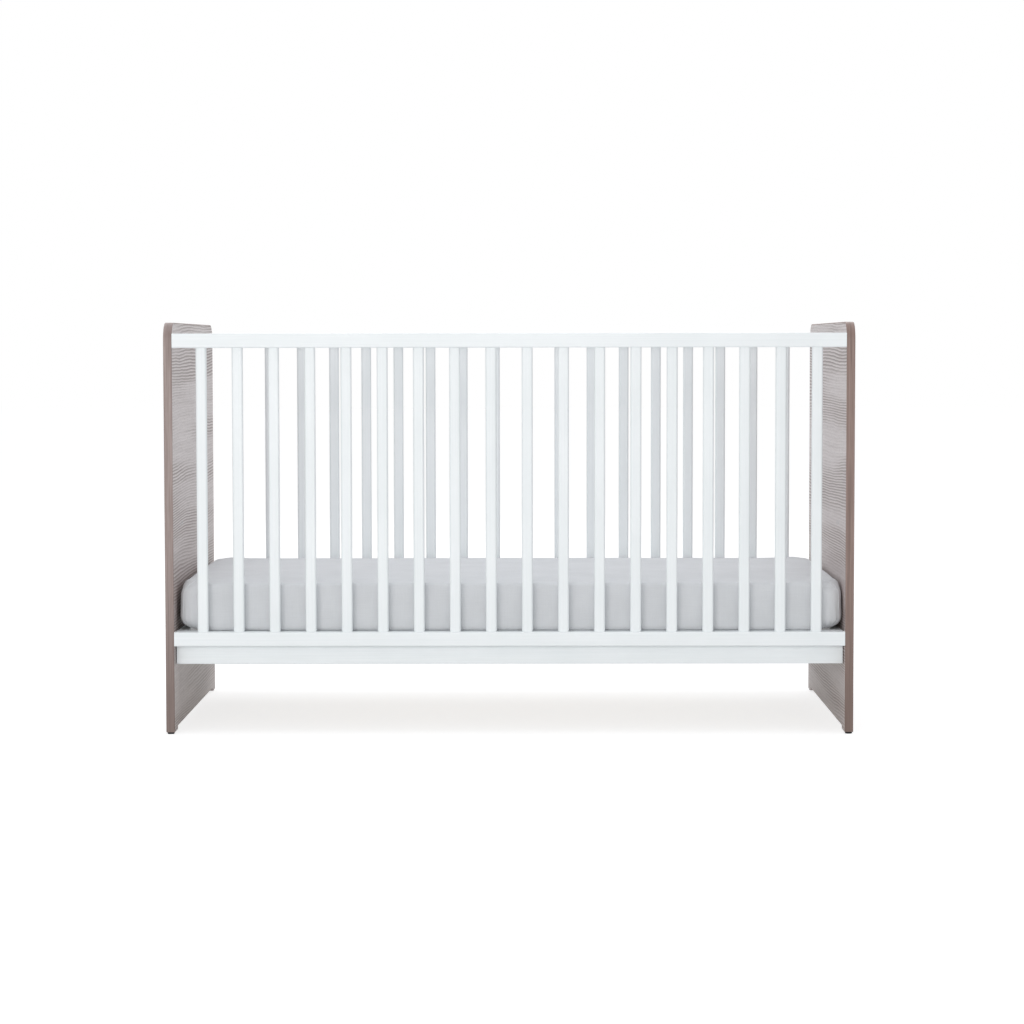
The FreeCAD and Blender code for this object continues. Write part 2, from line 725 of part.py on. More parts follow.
def bracket_hardware():
    """The support brackets at their lowest level, their screws, and the insert nuts at every level."""
    bracket_places = []
    screw_places = []
    insert_nut_places = []
    for end, turned in END_TURNS:
        face_x = f"{end} * {HALF_INNER}"
        screw_x = f"{end} * ({HALF_INNER} - Sizes.bracket_sheet)"
        for side in ROW_SIDES:
            y = f"{side} * Sizes.bracket_offset + {end} * Sizes.bracket_width / 2"
            bracket_places.append((face_x, y, BRACKET_BOTTOM, turned))
        for level in range(DIMENSIONS["height_levels"]):
            for line, height in insert_row(level):
                y = f"{line} - {HALF_DEPTH}"
                insert_nut_places.append((face_x, y, height, turned))
                if level == 0:
                    screw_places.append((screw_x, y, height, not turned))
    bracket_screw = screw(
        "bracket_screw",
        "Sizes.screw_head_radius",
        "Sizes.screw_head_height",
        "Sizes.screw_reach",
        "Sizes.screw_socket_depth",
    )
    copies("support_brackets", support_bracket(), bracket_places)
    copies("bracket_screws", bracket_screw, screw_places)
    copies("insert_nuts", insert_nut(), insert_nut_places)


def floor_glides():
    """A glide and its nail under each foot."""
    glide_places = []
    nail_places = []
    for end, _ in END_TURNS:
        x = f"{end} * ({HALF_LENGTH} - Sizes.panel_thickness / 2)"
        for line in GLIDE_LINES:
            y = f"{line} - {HALF_DEPTH}"
            glide_places.append((x, y, "0", False))
            nail_places.append((x, y, "Sizes.glide_recess_depth", False))
    copies("floor_glides", floor_glide(), glide_places)
    copies("glide_nails", glide_nail(), nail_places)


# Mattress and fitted sheet, both soft, as closed solids with rounded corners and edges.


def cushion(name, inset):
    """A rounded block, smaller than the made-up mattress by an inset on every side."""
    body = new_body(name)
    half_length = f"(Sizes.mattress_length / 2 - {inset})"
    half_width = f"(Sizes.mattress_width / 2 - {inset})"
    footprint = rectangle(
        body, "XY_Plane", (f"-{half_length}", f"-{half_width}"), (half_length, half_width), inset
    )
    block = pad(body, footprint, f"(Sizes.mattress_height - 2 * {inset})")
    rounded = fillet(body, block, ALONG_Z, f"Sizes.mattress_corner_radius - {inset}")
    fillet(
        body,
        rounded,
        lambda edge: edge.BoundBox.ZLength < EPSILON,
        f"Sizes.mattress_edge_radius - {inset}",
    )
    place(body, "0", "0", "Sizes.base_top")
    return body


def fitted_sheet(name):
    """A thin shell over the mattress, turned under its bottom edge by the hem's width."""
    shell = doc.addObject("Part::Cut", "sheet_shell")
    shell.Base = cushion("sheet_outside", "0")
    shell.Tool = cushion("sheet_inside", "Sizes.sheet_thickness")
    window = doc.addObject("Part::Box", "sheet_window")
    bind(
        window,
        {
            "Length": "Sizes.mattress_length - 2 * Sizes.sheet_hem_width",
            "Width": "Sizes.mattress_width - 2 * Sizes.sheet_hem_width",
            "Height": "4 * Sizes.sheet_thickness",
            "Placement.Base.x": "Sizes.sheet_hem_width - Sizes.mattress_length / 2",
            "Placement.Base.y": "Sizes.sheet_hem_width - Sizes.mattress_width / 2",
            "Placement.Base.z": "Sizes.base_top - 2 * Sizes.sheet_thickness",
        },
    )
    sheet = doc.addObject("Part::Cut", "sheet_with_window")
    sheet.Base = shell
    sheet.Tool = window
    doc.recompute()
    return keep(sheet, name)


# The crib, put together.

ENDS = (("left", f"-{HALF_LENGTH}", f"-{HALF_DEPTH}", False), ("right", HALF_LENGTH, HALF_DEPTH, True))
for side, x, y, turned in ENDS:
    end_panel(f"{side}_end_panel", x, y, turned)
    edge_band(f"{side}_edge_band", x, y, turned)

SIDES = (("front", f"-{HALF_INNER}", f"-{HALF_DEPTH}", False), ("back", HALF_INNER, HALF_DEPTH, True))
for side, x, y, turned in SIDES:
    side_rail(f"{side}_top_rail", "Sizes.top_rail_bottom", x, y, turned, mortised_above=False)
    side_rail(f"{side}_bottom_rail", "Sizes.bottom_rail_bottom", x, y, turned, mortised_above=True)
    slat_y = f"-{HALF_DEPTH} + {RAIL_MIDDLE} - Sizes.slat_depth / 2"
    if turned:
        slat_y = f"{HALF_DEPTH} - {RAIL_MIDDLE} - Sizes.slat_depth / 2"
    for index in range(DIMENSIONS["slat_count"]):
        side_slat(f"{side}_slat_{index + 1:02d}", index, slat_y)

base_rail("base_front_rail", f"-{BASE_LENGTH} / 2", f"-{BASE_WIDTH} / 2", False)
base_rail("base_back_rail", f"{BASE_LENGTH} / 2", f"{BASE_WIDTH} / 2", True)
base_end_rail("base_left_end_rail", f"-{BASE_LENGTH} / 2")
base_end_rail("base_right_end_rail", f"{BASE_LENGTH} / 2 - Sizes.end_rail_thickness")
base_slats("base_slats")

rail_joint_hardware()
base_dowels()
bracket_hardware()
floor_glides()

keep(cushion("mattress_block", "(Sizes.sheet_thickness + Sizes.sheet_slack)"), "mattress_core")
fitted_sheet("fitted_sheet")

# Every object has to be sound before anything is written.

doc.recompute()
for thing in doc.Objects:
    if "Invalid" in thing.State or "Error" in thing.State:
        raise ValueError(f"{thing.Name} failed to recompute")
for thing in sub_parts:
    if thing.Shape.isNull() or not thing.Shape.isValid():
        raise ValueError(f"{thing.Label} has no valid shape")

os.makedirs("parts", exist_ok=True)
for thing in sub_parts:
    thing.Shape.exportStep(f"parts/{thing.Label}.step")
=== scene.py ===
"""The looks of the baby crib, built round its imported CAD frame. Metres, +Z up, the front faces -Y."""

import math

import bmesh
import bpy
import numpy as np
from mathutils import Euler, Matrix, Vector, noise
from mathutils.bvhtree import BVHTree


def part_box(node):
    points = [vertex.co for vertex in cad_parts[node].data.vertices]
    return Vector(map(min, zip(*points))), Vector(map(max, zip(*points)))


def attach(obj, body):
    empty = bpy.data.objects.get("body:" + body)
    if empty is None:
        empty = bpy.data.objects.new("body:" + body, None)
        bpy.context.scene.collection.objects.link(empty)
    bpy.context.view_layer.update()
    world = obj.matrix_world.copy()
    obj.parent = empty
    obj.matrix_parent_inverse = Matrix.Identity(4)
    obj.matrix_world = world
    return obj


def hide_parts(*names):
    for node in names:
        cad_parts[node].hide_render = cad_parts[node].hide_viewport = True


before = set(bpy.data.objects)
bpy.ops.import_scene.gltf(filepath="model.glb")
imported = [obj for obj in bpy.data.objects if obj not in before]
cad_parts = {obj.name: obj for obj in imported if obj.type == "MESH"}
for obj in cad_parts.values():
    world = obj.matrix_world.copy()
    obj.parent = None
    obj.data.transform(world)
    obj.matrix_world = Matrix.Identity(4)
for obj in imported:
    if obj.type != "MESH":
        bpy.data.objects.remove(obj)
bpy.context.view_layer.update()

MM = 0.001
TURN = 2 * math.pi
WHITE = (1.0, 1.0, 1.0, 1.0)


# Node trees

MIX_FACTOR, MIX_FIRST, MIX_SECOND = 0, 6, 7
MIX_RESULT = 2


class Tree:
    """Builds one node tree, for a material or a world."""

    def __init__(self, owner):
        owner.use_nodes = True
        self.nodes = owner.node_tree.nodes
        self.links = owner.node_tree.links

    def add(self, kind, inputs=None, **settings):
        """A new node with its settings, and its inputs fed by name or by number."""
        node = self.nodes.new(kind)
        for key, value in settings.items():
            setattr(node, key, value)
        for key, value in (inputs or {}).items():
            self.feed(node.inputs[key], value)
        return node

    def feed(self, socket, value):
        """Links a socket to another node's output, or sets it to a constant."""
        if isinstance(value, bpy.types.NodeSocket):
            self.links.new(value, socket)
        else:
            socket.default_value = value

    def maths(self, operation, first, second=0.0, third=0.0):
        inputs = {0: first, 1: second, 2: third}
        return self.add("ShaderNodeMath", inputs, operation=operation).outputs[0]

    def weighted(self, first_term, *terms):
        """The sum of values, each times its weight."""
        total = self.maths("MULTIPLY", *first_term)
        for value, weight in terms:
            total = self.maths("MULTIPLY_ADD", value, weight, total)
        return total

    def ramp(self, value, start, end):
        """From start to end as the value goes from 0 to 1."""
        return self.maths("MULTIPLY_ADD", value, end - start, start)

    def vector(self, x, y, z):
        return self.add("ShaderNodeCombineXYZ", {0: x, 1: y, 2: z}).outputs[0]

    def scaled(self, place, scales):
        """A place with each coordinate times its own scale."""
        return self.vector(*[self.maths("MULTIPLY", *pair) for pair in zip(place, scales)])

    def place(self):
        """The row-frame coordinates of the surface at rest."""
        split = self.add("ShaderNodeSeparateXYZ")
        self.links.new(self.add("ShaderNodeTexCoord").outputs["Object"], split.inputs[0])
        return split.outputs[0], split.outputs[1], split.outputs[2]

    def noise(self, vector, scale=1.0, detail=2.0, roughness=0.5):
        inputs = {"Vector": vector, "Scale": scale, "Detail": detail, "Roughness": roughness}
        return self.add("ShaderNodeTexNoise", inputs).outputs["Fac"]

    def stretch(self, value, low, high):
        """A value's stretch from low to high, smoothed into 0 to 1."""
        inputs = {"Value": value, "From Min": low, "From Max": high}
        node = self.add("ShaderNodeMapRange", inputs, interpolation_type="SMOOTHSTEP")
        return node.outputs[0]

    def blend(self, factor, first, second):
        """A mix of two colours."""
        inputs = {MIX_FACTOR: factor, MIX_FIRST: first, MIX_SECOND: second}
        return self.add("ShaderNodeMix", inputs, data_type="RGBA").outputs[MIX_RESULT]

    def bump(self, height, strength, distance):
        inputs = {"Height": height, "Strength": strength, "Distance": distance}
        return self.add("ShaderNodeBump", inputs).outputs[0]


def colour(red, green, blue):
    """A screen colour, 0 to 255, as the linear colour that a shader takes."""

    def linear(value):
        share = value / 255
        return share / 12.92 if share <= 0.04045 else ((share + 0.055) / 1.055) ** 2.4

    return (linear(red), linear(green), linear(blue), 1.0)


def surface(name, **finish):
    """A material, its tree and its shader, with the finish set on the shader's own sockets."""
    material = bpy.data.materials.new(name)
    tree = Tree(material)
    shader = tree.nodes["Principled BSDF"]
    for key, value in finish.items():
        shader.inputs[key.replace("_", " ")].default_value = value
    return material, tree, shader


# Materials: the scales of noise are per metre

NOISE_MIDDLE = (0.3, 0.7)
RING_PITCH = 6.3 * MM
RING_DRIFT = 60 * MM
RING_RIPPLE = 4.5 * MM
PANEL_CHANGE = 7.0
WOOD_LENGTH = 40


def drawn_out(axis, along, across):
    """Scales for the three coordinates, with their own one along an axis."""
    scales = [across, across, across]
    scales["XYZ".index(axis)] = along
    return scales


def oak_laminate():
    """Taupe oak print along Y: nearly straight rings in zones, fibres and short dark pores, with
    painted shade lower down.
    """
    material, tree, shader = surface("oak_laminate")
    x, y, z = tree.place()
    panel = tree.maths("MULTIPLY", x, PANEL_CHANGE)

    def grain(along, across, detail=2.0, shift=0.0):
        """Noise drawn out along the grain, another pattern on each panel."""
        sideways = tree.maths("ADD", panel, shift)
        lengthways, upwards = tree.maths("MULTIPLY", y, along), tree.maths("MULTIPLY", z, across)
        return tree.noise(tree.vector(sideways, lengthways, upwards), detail=detail)

    drift = grain(along=1.1, across=5.0, detail=1.0)
    ripple = grain(along=9.0, across=26.0, detail=1.0)
    level = tree.weighted((z, 1.0), (drift, RING_DRIFT), (ripple, RING_RIPPLE))
    saw = tree.maths("FRACT", tree.maths("MULTIPLY", level, 1 / RING_PITCH))
    rise, fall = tree.stretch(saw, low=0.20, high=0.80), tree.stretch(saw, low=1.0, high=0.84)
    zone = tree.stretch(grain(along=0.9, across=11.0, detail=1.0, shift=5.0), low=0.40, high=0.62)
    ring = tree.maths("MULTIPLY", rise, fall)
    rings = tree.maths("MULTIPLY", ring, tree.ramp(zone, start=0.15, end=1.0))
    fibres = grain(along=14.0, across=520.0)
    streaks = grain(along=2.4, across=105.0, detail=3.0)
    tone = tree.weighted((fibres, 0.30), (streaks, 0.42), (rings, 0.58))
    tone = tree.stretch(tone, low=0.14, high=0.98)
    pores = tree.stretch(grain(along=46.0, across=1100.0, detail=0.0), low=0.62, high=0.74)
    wood = tree.blend(tone, colour(220, 212, 211), colour(144, 129, 126))
    wood = tree.blend(tree.maths("MULTIPLY", pores, 0.35), wood, colour(104, 90, 84))
    # Painted shade: the panel turns darker and warmer from 0.58 m down to 0.22 m high, standing in for
    # the shade low on the panel by the mattress and floor.
    painted_low_shade = tree.maths("MULTIPLY", tree.stretch(z, low=0.58, high=0.22), 0.34)
    wood = tree.blend(painted_low_shade, wood, colour(120, 92, 80))
    relief = tree.weighted((tone, -0.6), (pores, -1.0))
    tree.feed(shader.inputs["Base Color"], wood)
    tree.feed(shader.inputs["Roughness"], tree.ramp(tone, start=0.42, end=0.52))
    tree.feed(shader.inputs["Normal"], tree.bump(relief, strength=0.35, distance=0.12 * MM))
    return material


def edge_band():
    """Brown banding with fine streaks along its length, browner on the right panel, and darkened lower
    down by painted shade.
    """
    material, tree, shader = surface("edge_band", Roughness=0.5)
    x, y, z = tree.place()
    length = tree.maths("ADD", y, z)
    coarse = tree.scaled((x, length, z), (260.0, 3.0, 1.0))
    fine = tree.scaled((x, length, z), (1400.0, 18.0, 1.0))
    streaks, hairs = tree.noise(coarse, detail=3, roughness=0.6), tree.noise(fine, detail=1)
    tone = tree.stretch(tree.weighted((streaks, 0.65), (hairs, 0.35)), *NOISE_MIDDLE)
    right = tree.stretch(x, low=-0.1, high=0.1)
    light = tree.blend(right, colour(166, 150, 146), colour(157, 134, 126))
    dark = tree.blend(right, colour(126, 109, 104), colour(115, 94, 86))
    strip = tree.blend(tone, light, dark)
    # Painted shade: the band darkens towards the floor, below 0.5 m high, to a dark brown.
    low = tree.maths("MULTIPLY", tree.stretch(z, low=0.50, high=0.02), 0.68)
    tree.feed(shader.inputs["Base Color"], tree.blend(low, strip, colour(104, 86, 79)))
    tree.feed(shader.inputs["Normal"], tree.bump(tone, strength=0.2, distance=0.05 * MM))
    return material


def white_lacquer(name, axis):
    """White satin lacquer on wood, the grain just showing through along one axis."""
    material, tree, shader = surface(name, Roughness=0.38)
    place = tree.place()
    grain_place = tree.scaled(place, drawn_out(axis, along=5.0, across=420.0))
    grain = tree.noise(grain_place, detail=3, roughness=0.6)
    spray = tree.noise(tree.vector(*place), scale=700.0, detail=1)
    clouds = tree.noise(tree.vector(*place), scale=6.0, detail=2)
    tone = tree.stretch(tree.weighted((grain, 0.5), (clouds, 0.5)), *NOISE_MIDDLE)
    white = tree.blend(tone, colour(241, 245, 247), colour(234, 239, 241))
    relief = tree.weighted((grain, 1.0), (spray, 0.4))
    tree.feed(shader.inputs["Base Color"], white)
    tree.feed(shader.inputs["Normal"], tree.bump(relief, strength=0.25, distance=0.06 * MM))
    return material


def plain_wood(name, axis, light, dark, scale):
    """Bare wood with fibres along one axis."""
    material, tree, shader = surface(name, Roughness=0.6)
    fibre_place = tree.scaled(tree.place(), drawn_out(axis, scale / WOOD_LENGTH, scale))
    bands = tree.noise(fibre_place, detail=4, roughness=0.65)
    fibres = tree.noise(fibre_place, scale=6.0, detail=2)
    tone = tree.stretch(tree.weighted((bands, 0.65), (fibres, 0.35)), *NOISE_MIDDLE)
    tree.feed(shader.inputs["Base Color"], tree.blend(tone, light, dark))
    tree.feed(shader.inputs["Normal"], tree.bump(tone, strength=0.3, distance=0.1 * MM))
    return material


def zinc_steel():
    """Zinc-plated steel, faintly blotched."""
    material, tree, shader = surface("zinc_steel", Metallic=1.0)
    blotches = tree.noise(tree.vector(*tree.place()), scale=260.0, detail=3)
    tone = tree.stretch(blotches, *NOISE_MIDDLE)
    zinc = tree.blend(tone, colour(205, 206, 208), colour(178, 180, 183))
    tree.feed(shader.inputs["Base Color"], zinc)
    tree.feed(shader.inputs["Roughness"], tree.ramp(tone, start=0.28, end=0.43))
    return material


def black_plastic():
    """Moulded black plastic with a fine texture."""
    material, tree, shader = surface("black_plastic", Roughness=0.75, Specular_IOR_Level=0.3)
    grit = tree.noise(tree.vector(*tree.place()), scale=2200.0, detail=2)
    black = tree.blend(grit, colour(24, 24, 25), colour(38, 38, 39))
    tree.feed(shader.inputs["Base Color"], black)
    tree.feed(shader.inputs["Normal"], tree.bump(grit, strength=0.3, distance=0.05 * MM))
    return material


def woven(name, light, dark, thread, sheen):
    """A plain weave of uneven threads, with soft clouds of tone."""
    material, tree, shader = surface(name, Roughness=0.9, Sheen_Weight=sheen, Sheen_Roughness=0.5)
    place = tree.place()
    phases = [tree.maths("MULTIPLY", value, TURN / thread) for value in place]
    waves = [tree.maths("SINE", phase) for phase in phases]
    weave = tree.weighted((waves[0], waves[1]), (waves[1], waves[2]), (waves[0], waves[2]))
    slubs = []
    for axis in "XYZ":
        slub_place = tree.scaled(place, drawn_out(axis, along=25.0, across=900.0))
        slubs.append(tree.noise(slub_place, detail=2))
    slub = tree.maths("ADD", tree.maths("ADD", slubs[0], slubs[1]), slubs[2])
    clouds = tree.noise(tree.vector(*place), scale=14.0, detail=3)
    tone = tree.stretch(tree.weighted((slub, 0.25), (clouds, 0.5)), low=0.40, high=0.85)
    relief = tree.maths("MULTIPLY_ADD", weave, 0.3, slub)
    tree.feed(shader.inputs["Base Color"], tree.blend(tone, light, dark))
    tree.feed(shader.inputs["Normal"], tree.bump(relief, strength=0.25, distance=0.1 * MM))
    return material


PAINTS = {
    "laminate": oak_laminate(),
    "band": edge_band(),
    "white_x": white_lacquer("white_lacquer_x", "X"),
    "white_y": white_lacquer("white_lacquer_y", "Y"),
    "white_z": white_lacquer("white_lacquer_z", "Z"),
    "ply": plain_wood("birch_ply", "Y", colour(222, 196, 158), colour(198, 168, 126), 160.0),
    "beech": plain_wood("beech_dowel", "X", colour(224, 196, 160), colour(200, 168, 130), 500.0),
    "steel": zinc_steel(),
    "black": black_plastic(),
    "cotton": woven("grey_cotton", colour(216, 218, 221), colour(206, 208, 211), 0.7 * MM, 0.15),
    "ticking": woven("white_ticking", colour(238, 236, 230), colour(224, 221, 214), 1.2 * MM, 0.1),
}
NODE_PAINTS = {
    "end_panel": "laminate",
    "edge_band": "band",
    "top_rail": "white_x",
    "bottom_rail": "white_x",
    "base_front_rail": "white_x",
    "base_back_rail": "white_x",
    "end_rail": "white_y",
    "base_slats": "ply",
    "slat_": "white_z",
    "dowels": "beech",
    "bolts": "steel",
    "nuts": "steel",
    "screws": "steel",
    "nails": "steel",
    "brackets": "steel",
    "glides": "black",
    "mattress_core": "ticking",
    "fitted_sheet": "cotton",
}


def paint(thing, name):
    thing.data.materials.clear()
    thing.data.materials.append(PAINTS[name])


for node_name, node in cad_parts.items():
    paint(node, next(key for part, key in NODE_PAINTS.items() if part in node_name))


# Mattress and fitted sheet: the shell is the sheet's outside, and the pad is the same form inside it

SHEET_LOW, SHEET_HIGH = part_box("fitted_sheet")
CORE_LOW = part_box("mattress_core")[0]
# How far the shell's box stands past the CAD sheet's, slightly to the right as in the photo
LOW_MARGIN = (1.3 * MM, -1.2 * MM, 0.2 * MM)
HIGH_MARGIN = (4.3 * MM, 1.2 * MM, 3.0 * MM)
SHELL_LOW = Vector([edge + margin for edge, margin in zip(SHEET_LOW, LOW_MARGIN)])
SHELL_HIGH = Vector([edge + margin for edge, margin in zip(SHEET_HIGH, HIGH_MARGIN)])
SHELL_CELLS = (96, 54, 12)
EDGE_CROWDING = 0.45
CORNER_RADIUS = 30 * MM
CORNER_GROWTH = 0.15
MOST_CORNER = 0.95
SIDE_TOP_RADIUS, SIDE_LOW_RADIUS = 4 * MM, 7 * MM
END_TOP_RADIUS, END_LOW_RADIUS = 12 * MM, 24 * MM
CORNER_TOP_RADIUS, CORNER_LOW_RADIUS = 30 * MM, 28 * MM
END_REACH = 75 * MM
NEARLY = 1e-6
NO_ZERO = 1e-9

PRESSURE = 4.0
BENDING = 2.0
HELD_HEIGHT = 0.5 * MM
LAST_FRAME = 20
MOST_SWELL = 5 * MM

SHEET_THICKNESS = 1 * MM
PAD_GAP = 2.6 * MM
FINER_QUADS = 4
HEM_WIDTH = 70 * MM
SEAM_RADIUS = 0.8 * MM
SEAM_PROUD = 0.3
SEAM_START = 45 * MM
ELASTIC_RADIUS = 1.0 * MM
TUBE_SIDES = 8
TOP_POINTS, SIDE_POINTS, HEM_POINTS = 16, 24, 20
LOOP_POINTS = (120, 60)

# Gathers beside the corners, pulls on the top, and folds: each fades in between two heights
GATHER_HEIGHT = 0.9 * MM
GATHER_PITCH = 14 * MM
GATHER_REACH = 70 * MM
GATHER_DRIFT = 4.0
GATHER_TOP, GATHER_FULL = 285 * MM, 228 * MM
PULL_HEIGHT = 0.5 * MM
PULL_REACH = 140 * MM
PULL_START, PULL_END = 20 * MM, 60 * MM
PULL_WAVES, PULL_DRIFT = 15.0, 3.0
PULL_LOW, PULL_FULL = 280 * MM, 305 * MM
FLAT_LOW, FLAT_FULL = 300 * MM, 314 * MM
WALL_TOP, WALL_FULL = 308 * MM, 295 * MM

# Each kind of noise on the cotton: its height, its scales per metre and its seed
DRIFT = (1.0, (9.0, 9.0, 9.0), 3.1)
SOFT_SWELLS = (0.5 * MM, (7.0, 10.0, 12.0), 8.4)
LENGTHWISE_FOLDS = (0.22 * MM, (9.0, 55.0, 9.0), 1.7)
UPRIGHT_FOLDS = (0.22 * MM, (40.0, 12.0, 10.0), 5.2)


def smooth(value, low, high):
    """The value's stretch from low to high, smoothed into 0 to 1."""
    share = np.clip((value - low) / (high - low), 0.0, 1.0)
    return share * share * (3.0 - 2.0 * share)


def corner_radius(inset, half_y):
    """The plan radius of the ring at an inset: it grows inwards, which makes ball-like corners."""
    return np.minimum(CORNER_RADIUS + CORNER_GROWTH * inset, MOST_CORNER * (half_y - inset))


def ring_point(x, y, inset, far_inset, half_x, half_y):
    """A point of the rectangle at one inset, taken to the rounded ring at another inset."""
    start_corner, end_corner = corner_radius(inset, half_y), corner_radius(far_inset, half_y)
    start_x, start_y = half_x - inset - start_corner, half_y - inset - start_corner
    end_x, end_y = half_x - far_inset - end_corner, half_y - far_inset - end_corner
    past_x, past_y = np.abs(x) - start_x, np.abs(y) - start_y
    in_corner = (past_x > 0) & (past_y > 0)
    on_end = (past_x > 0) & ~in_corner
    angle = np.arctan2(past_y, past_x)
    end_side = np.abs(y) * end_y / np.maximum(start_y, NO_ZERO)
    new_x = np.where(on_end, end_x + end_corner, np.abs(x) * end_x / start_x)
    new_y = np.where(on_end, end_side, end_y + end_corner)
    new_x = np.where(in_corner, end_x + end_corner * np.cos(angle), new_x)
    new_y = np.where(in_corner, end_y + end_corner * np.sin(angle), new_y)
    return np.copysign(new_x, x), np.copysign(new_y, y)


def shell_points(points, half, height):
    """Points of a plain box, taken to the mattress's form: soft ends and crisper long edges."""
    x, y, z = points.T
    inset = np.minimum(half[0] - np.abs(x), half[1] - np.abs(y))
    inset = np.where((z < NEARLY) | (z > height - NEARLY), inset, 0.0)
    near_end = smooth(np.abs(x), half[0] - END_REACH, half[0] - CORNER_RADIUS)
    near_corner = near_end * smooth(np.abs(y), half[1] - END_REACH, half[1] - CORNER_RADIUS)
    upper = z > height / 2
    side_radius = np.where(upper, SIDE_TOP_RADIUS, SIDE_LOW_RADIUS)
    end_radius = np.where(upper, END_TOP_RADIUS, END_LOW_RADIUS)
    corner_round = np.where(upper, CORNER_TOP_RADIUS, CORNER_LOW_RADIUS)
    radius = side_radius + (end_radius - side_radius) * near_end
    radius = radius + (corner_round - radius) * near_corner
    drop = np.where(upper, height - z, z)
    on_face = 1.0 - np.clip(inset / radius, 0.0, 1.0)
    on_side = np.clip(drop / radius, 0.0, 1.0)
    turn = math.pi / 4 * np.where(drop < NEARLY, on_face, 1.0 + on_side)
    far_inset = np.where(turn > 0, radius * (1.0 - np.sin(turn)), inset)
    far_inset = np.where(turn >= math.pi / 2 - NO_ZERO, 0.0, far_inset)
    sunk = np.where(turn > 0, radius * (1.0 - np.cos(turn)), 0.0)
    sunk = np.where(on_side >= 1.0, drop, sunk)
    new_x, new_y = ring_point(x, y, inset, far_inset, *half)
    return np.column_stack((new_x, new_y, np.where(upper, height - sunk, sunk)))


def crowded(half, cells):
    """Steps from -half to half, closer toward both ends, with one at the hem on each side."""
    share = np.linspace(-1.0, 1.0, cells + 1)
    steps = half * ((1 - EDGE_CROWDING) * share + EDGE_CROWDING * np.sin(share * math.pi / 2))
    for hem in (HEM_WIDTH - half, half - HEM_WIDTH):
        steps[np.argmin(np.abs(steps - hem))] = hem
    return steps


def box_grid(half, height):
    """The vertices and quads of a box's surface, cut into a grid."""
    steps = (
        crowded(half[0], SHELL_CELLS[0]),
        crowded(half[1], SHELL_CELLS[1]),
        np.linspace(0.0, height, SHELL_CELLS[2] + 1),
    )
    index, points, quads = {}, [], []

    def vertex(key):
        """The number of the vertex at a grid place, made the first time it is asked for."""
        if key not in index:
            index[key] = len(points)
            points.append([steps[axis][key[axis]] for axis in range(3)])
        return index[key]

    for axis in range(3):
        first, second = (axis + 1) % 3, (axis + 2) % 3
        for level in (0, SHELL_CELLS[axis]):
            for i in range(SHELL_CELLS[first]):
                for j in range(SHELL_CELLS[second]):
                    quad = []
                    for di, dj in ((0, 0), (1, 0), (1, 1), (0, 1)):
                        key = [0, 0, 0]
                        key[axis], key[first], key[second] = level, i + di, j + dj
                        quad.append(vertex(tuple(key)))
                    quads.append(quad if level else quad[::-1])
    return np.array(points), quads


def new_object(name, points, faces):
    mesh = bpy.data.meshes.new(name)
    mesh.from_pydata([tuple(point) for point in points], [], faces)
    mesh.polygons.foreach_set("use_smooth", [True] * len(mesh.polygons))
    thing = bpy.data.objects.new(name, mesh)
    bpy.context.scene.collection.objects.link(thing)
    return thing


def read(mesh, what):
    """Every vertex's co or normal, one row each."""
    values = np.empty(3 * len(mesh.vertices))
    mesh.vertices.foreach_get(what, values)
    return values.reshape(-1, 3)


def write_points(mesh, points):
    mesh.vertices.foreach_set("co", np.asarray(points, float).ravel())
    mesh.update()


def evaluated_mesh(thing):
    """The mesh of an object with its modifiers applied."""
    graph = bpy.context.evaluated_depsgraph_get()
    return bpy.data.meshes.new_from_object(thing.evaluated_get(graph))


def inflate(thing):
    """Runs the cloth under pressure, its underside held, and keeps a capped share of the swelling."""
    start = read(thing.data, "co")
    underside = np.flatnonzero(start[:, 2] < start[:, 2].min() + HELD_HEIGHT)
    held = thing.vertex_groups.new(name="held")
    held.add([int(i) for i in underside], 1.0, "REPLACE")
    cloth = thing.modifiers.new("cloth", "CLOTH")
    cloth.settings.vertex_group_mass = held.name
    cloth.settings.use_pressure = True
    cloth.settings.uniform_pressure_force = PRESSURE
    cloth.settings.effector_weights.gravity = 0.0
    cloth.settings.bending_stiffness = BENDING
    cloth.point_cache.frame_end = LAST_FRAME
    for step in range(1, LAST_FRAME + 1):
        bpy.context.scene.frame_set(step)
    swollen = read(evaluated_mesh(thing), "co")
    thing.modifiers.remove(cloth)
    move = swollen - start
    length = np.linalg.norm(move, axis=1, keepdims=True)
    write_points(thing.data, start + move * MOST_SWELL / (MOST_SWELL + length))
    bpy.context.scene.frame_set(1)


def subdivide(thing):
    modifier = thing.modifiers.new("subdivision", "SUBSURF")
    modifier.levels = modifier.render_levels = 1
    finer = evaluated_mesh(thing)
    thing.modifiers.remove(modifier)
    thing.data = finer


def fit_box(points, low, high):
    """The points, scaled to fill a box."""
    least, most = points.min(0), points.max(0)
    return np.array(low) + (points - least) * (np.array(high) - np.array(low)) / (most - least)


def seam_lines(half, height):
    """On the plain box: a line down each corner to the hem, and the hem's own loop last."""
    insets = np.linspace(SEAM_START, 0.0, TOP_POINTS)
    drops = np.linspace(0.0, height, SIDE_POINTS)[1:-1]
    returns = np.linspace(0.0, HEM_WIDTH, HEM_POINTS)
    lines = []
    for sign_x, sign_y in ((-1, -1), (1, -1), (1, 1), (-1, 1)):
        line = [(sign_x * (half[0] - inset), sign_y * (half[1] - inset), height) for inset in insets]
        line += [(sign_x * half[0], sign_y * half[1], height - drop) for drop in drops]
        line += [(sign_x * (half[0] - inset), sign_y * (half[1] - inset), 0.0) for inset in returns]
        lines.append(line)
    hem_x, hem_y = half[0] - HEM_WIDTH, half[1] - HEM_WIDTH
    along = np.linspace(-hem_x, hem_x, LOOP_POINTS[0])[:-1]
    across = np.linspace(-hem_y, hem_y, LOOP_POINTS[1])[:-1]
    loop = [(x, -hem_y, 0.0) for x in along] + [(hem_x, y, 0.0) for y in across]
    loop += [(-x, hem_y, 0.0) for x in along] + [(-hem_x, -y, 0.0) for y in across]
    lines.append(loop)
    return lines


